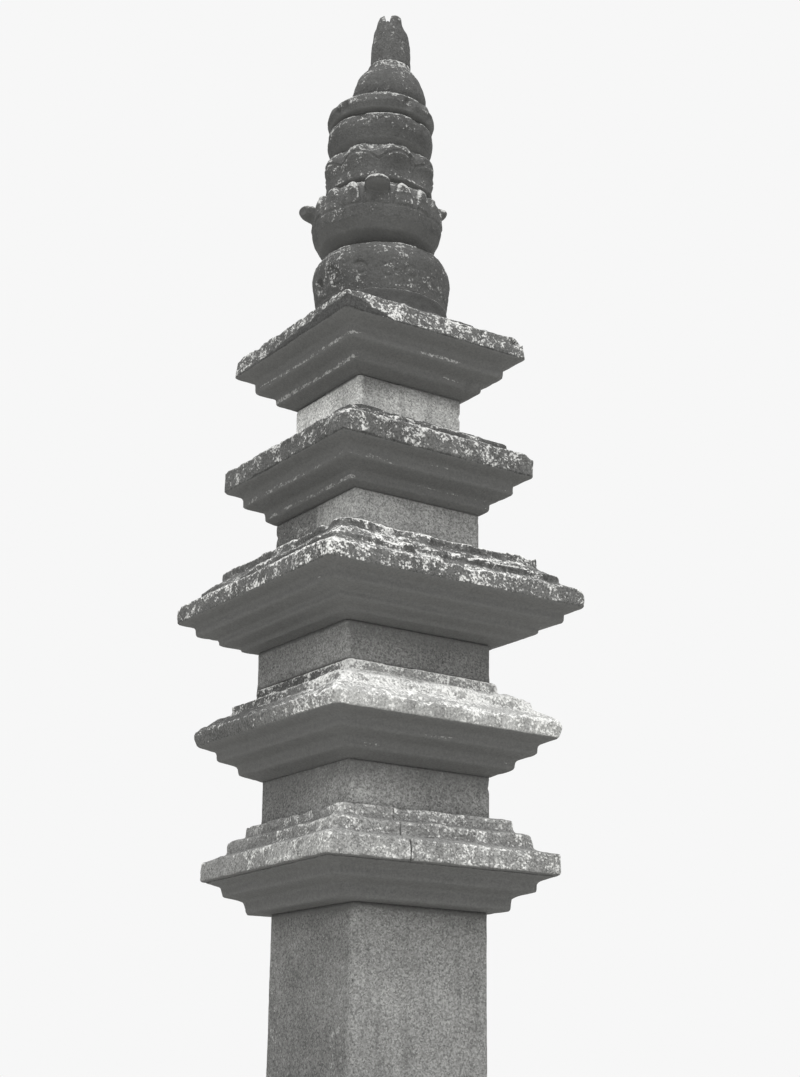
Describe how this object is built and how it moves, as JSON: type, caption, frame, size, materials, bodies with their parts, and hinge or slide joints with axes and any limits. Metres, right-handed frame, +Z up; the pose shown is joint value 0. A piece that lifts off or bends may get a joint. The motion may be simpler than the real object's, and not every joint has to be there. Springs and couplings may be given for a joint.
{
  "type": "stone pagoda",
  "caption": "Tall square stone pagoda on a two-tier platform, with stepped roofs over short storeys and a stacked round finial with a broken spire.",
  "frame": {"origin": "centre of the foundation's underside, at ground level", "axes": "+Z up the tower; -Y is the face seen on the right of the picture, -X the face seen on the left"},
  "size_m": [2.14, 2.14, 7.534],
  "materials": {
    "granite_base": "hewn granite, weathered",
    "granite_body": "dressed granite, weathered smooth",
    "granite_roof": "hewn granite with pale lichen",
    "granite_finial": "carved granite, dark with age",
    "rubble": "packed rubble and earth"
  },
  "bodies": {
    "root": {"foundation_front": "granite_base", "foundation_back": "granite_base", "foundation_left": "granite_base", "foundation_right": "granite_base", "lower_core": "rubble", "lower_wall_front": "granite_base", "lower_wall_back": "granite_base", "lower_wall_left": "granite_base", "lower_wall_right": "granite_base", "lower_cap_front": "granite_base", "lower_cap_back": "granite_base", "lower_cap_left": "granite_base", "lower_cap_right": "granite_base", "upper_wall_front": "granite_base", "upper_wall_back": "granite_base", "upper_wall_left": "granite_base", "upper_wall_right": "granite_base", "upper_core": "rubble", "upper_cap_left": "granite_base", "upper_cap_right": "granite_base", "storey_sill": "granite_base", "body_1": "granite_body", "body_2": "granite_body", "body_3": "granite_body", "body_4": "granite_body", "body_5": "granite_body", "roof_1_cornice": "granite_roof", "roof_1_eave_left": "granite_roof", "roof_1_eave_right": "granite_roof", "roof_2": "granite_roof", "roof_3": "granite_roof", "roof_4": "granite_roof", "roof_5": "granite_roof", "finial_bowl": "granite_finial", "finial_wheel_1": "granite_finial", "finial_wheel_2": "granite_finial", "finial_wheel_3": "granite_finial", "finial_ball": "granite_finial", "finial_flower": "granite_finial", "finial_spire": "granite_finial"}
  },
  "joints": []
}
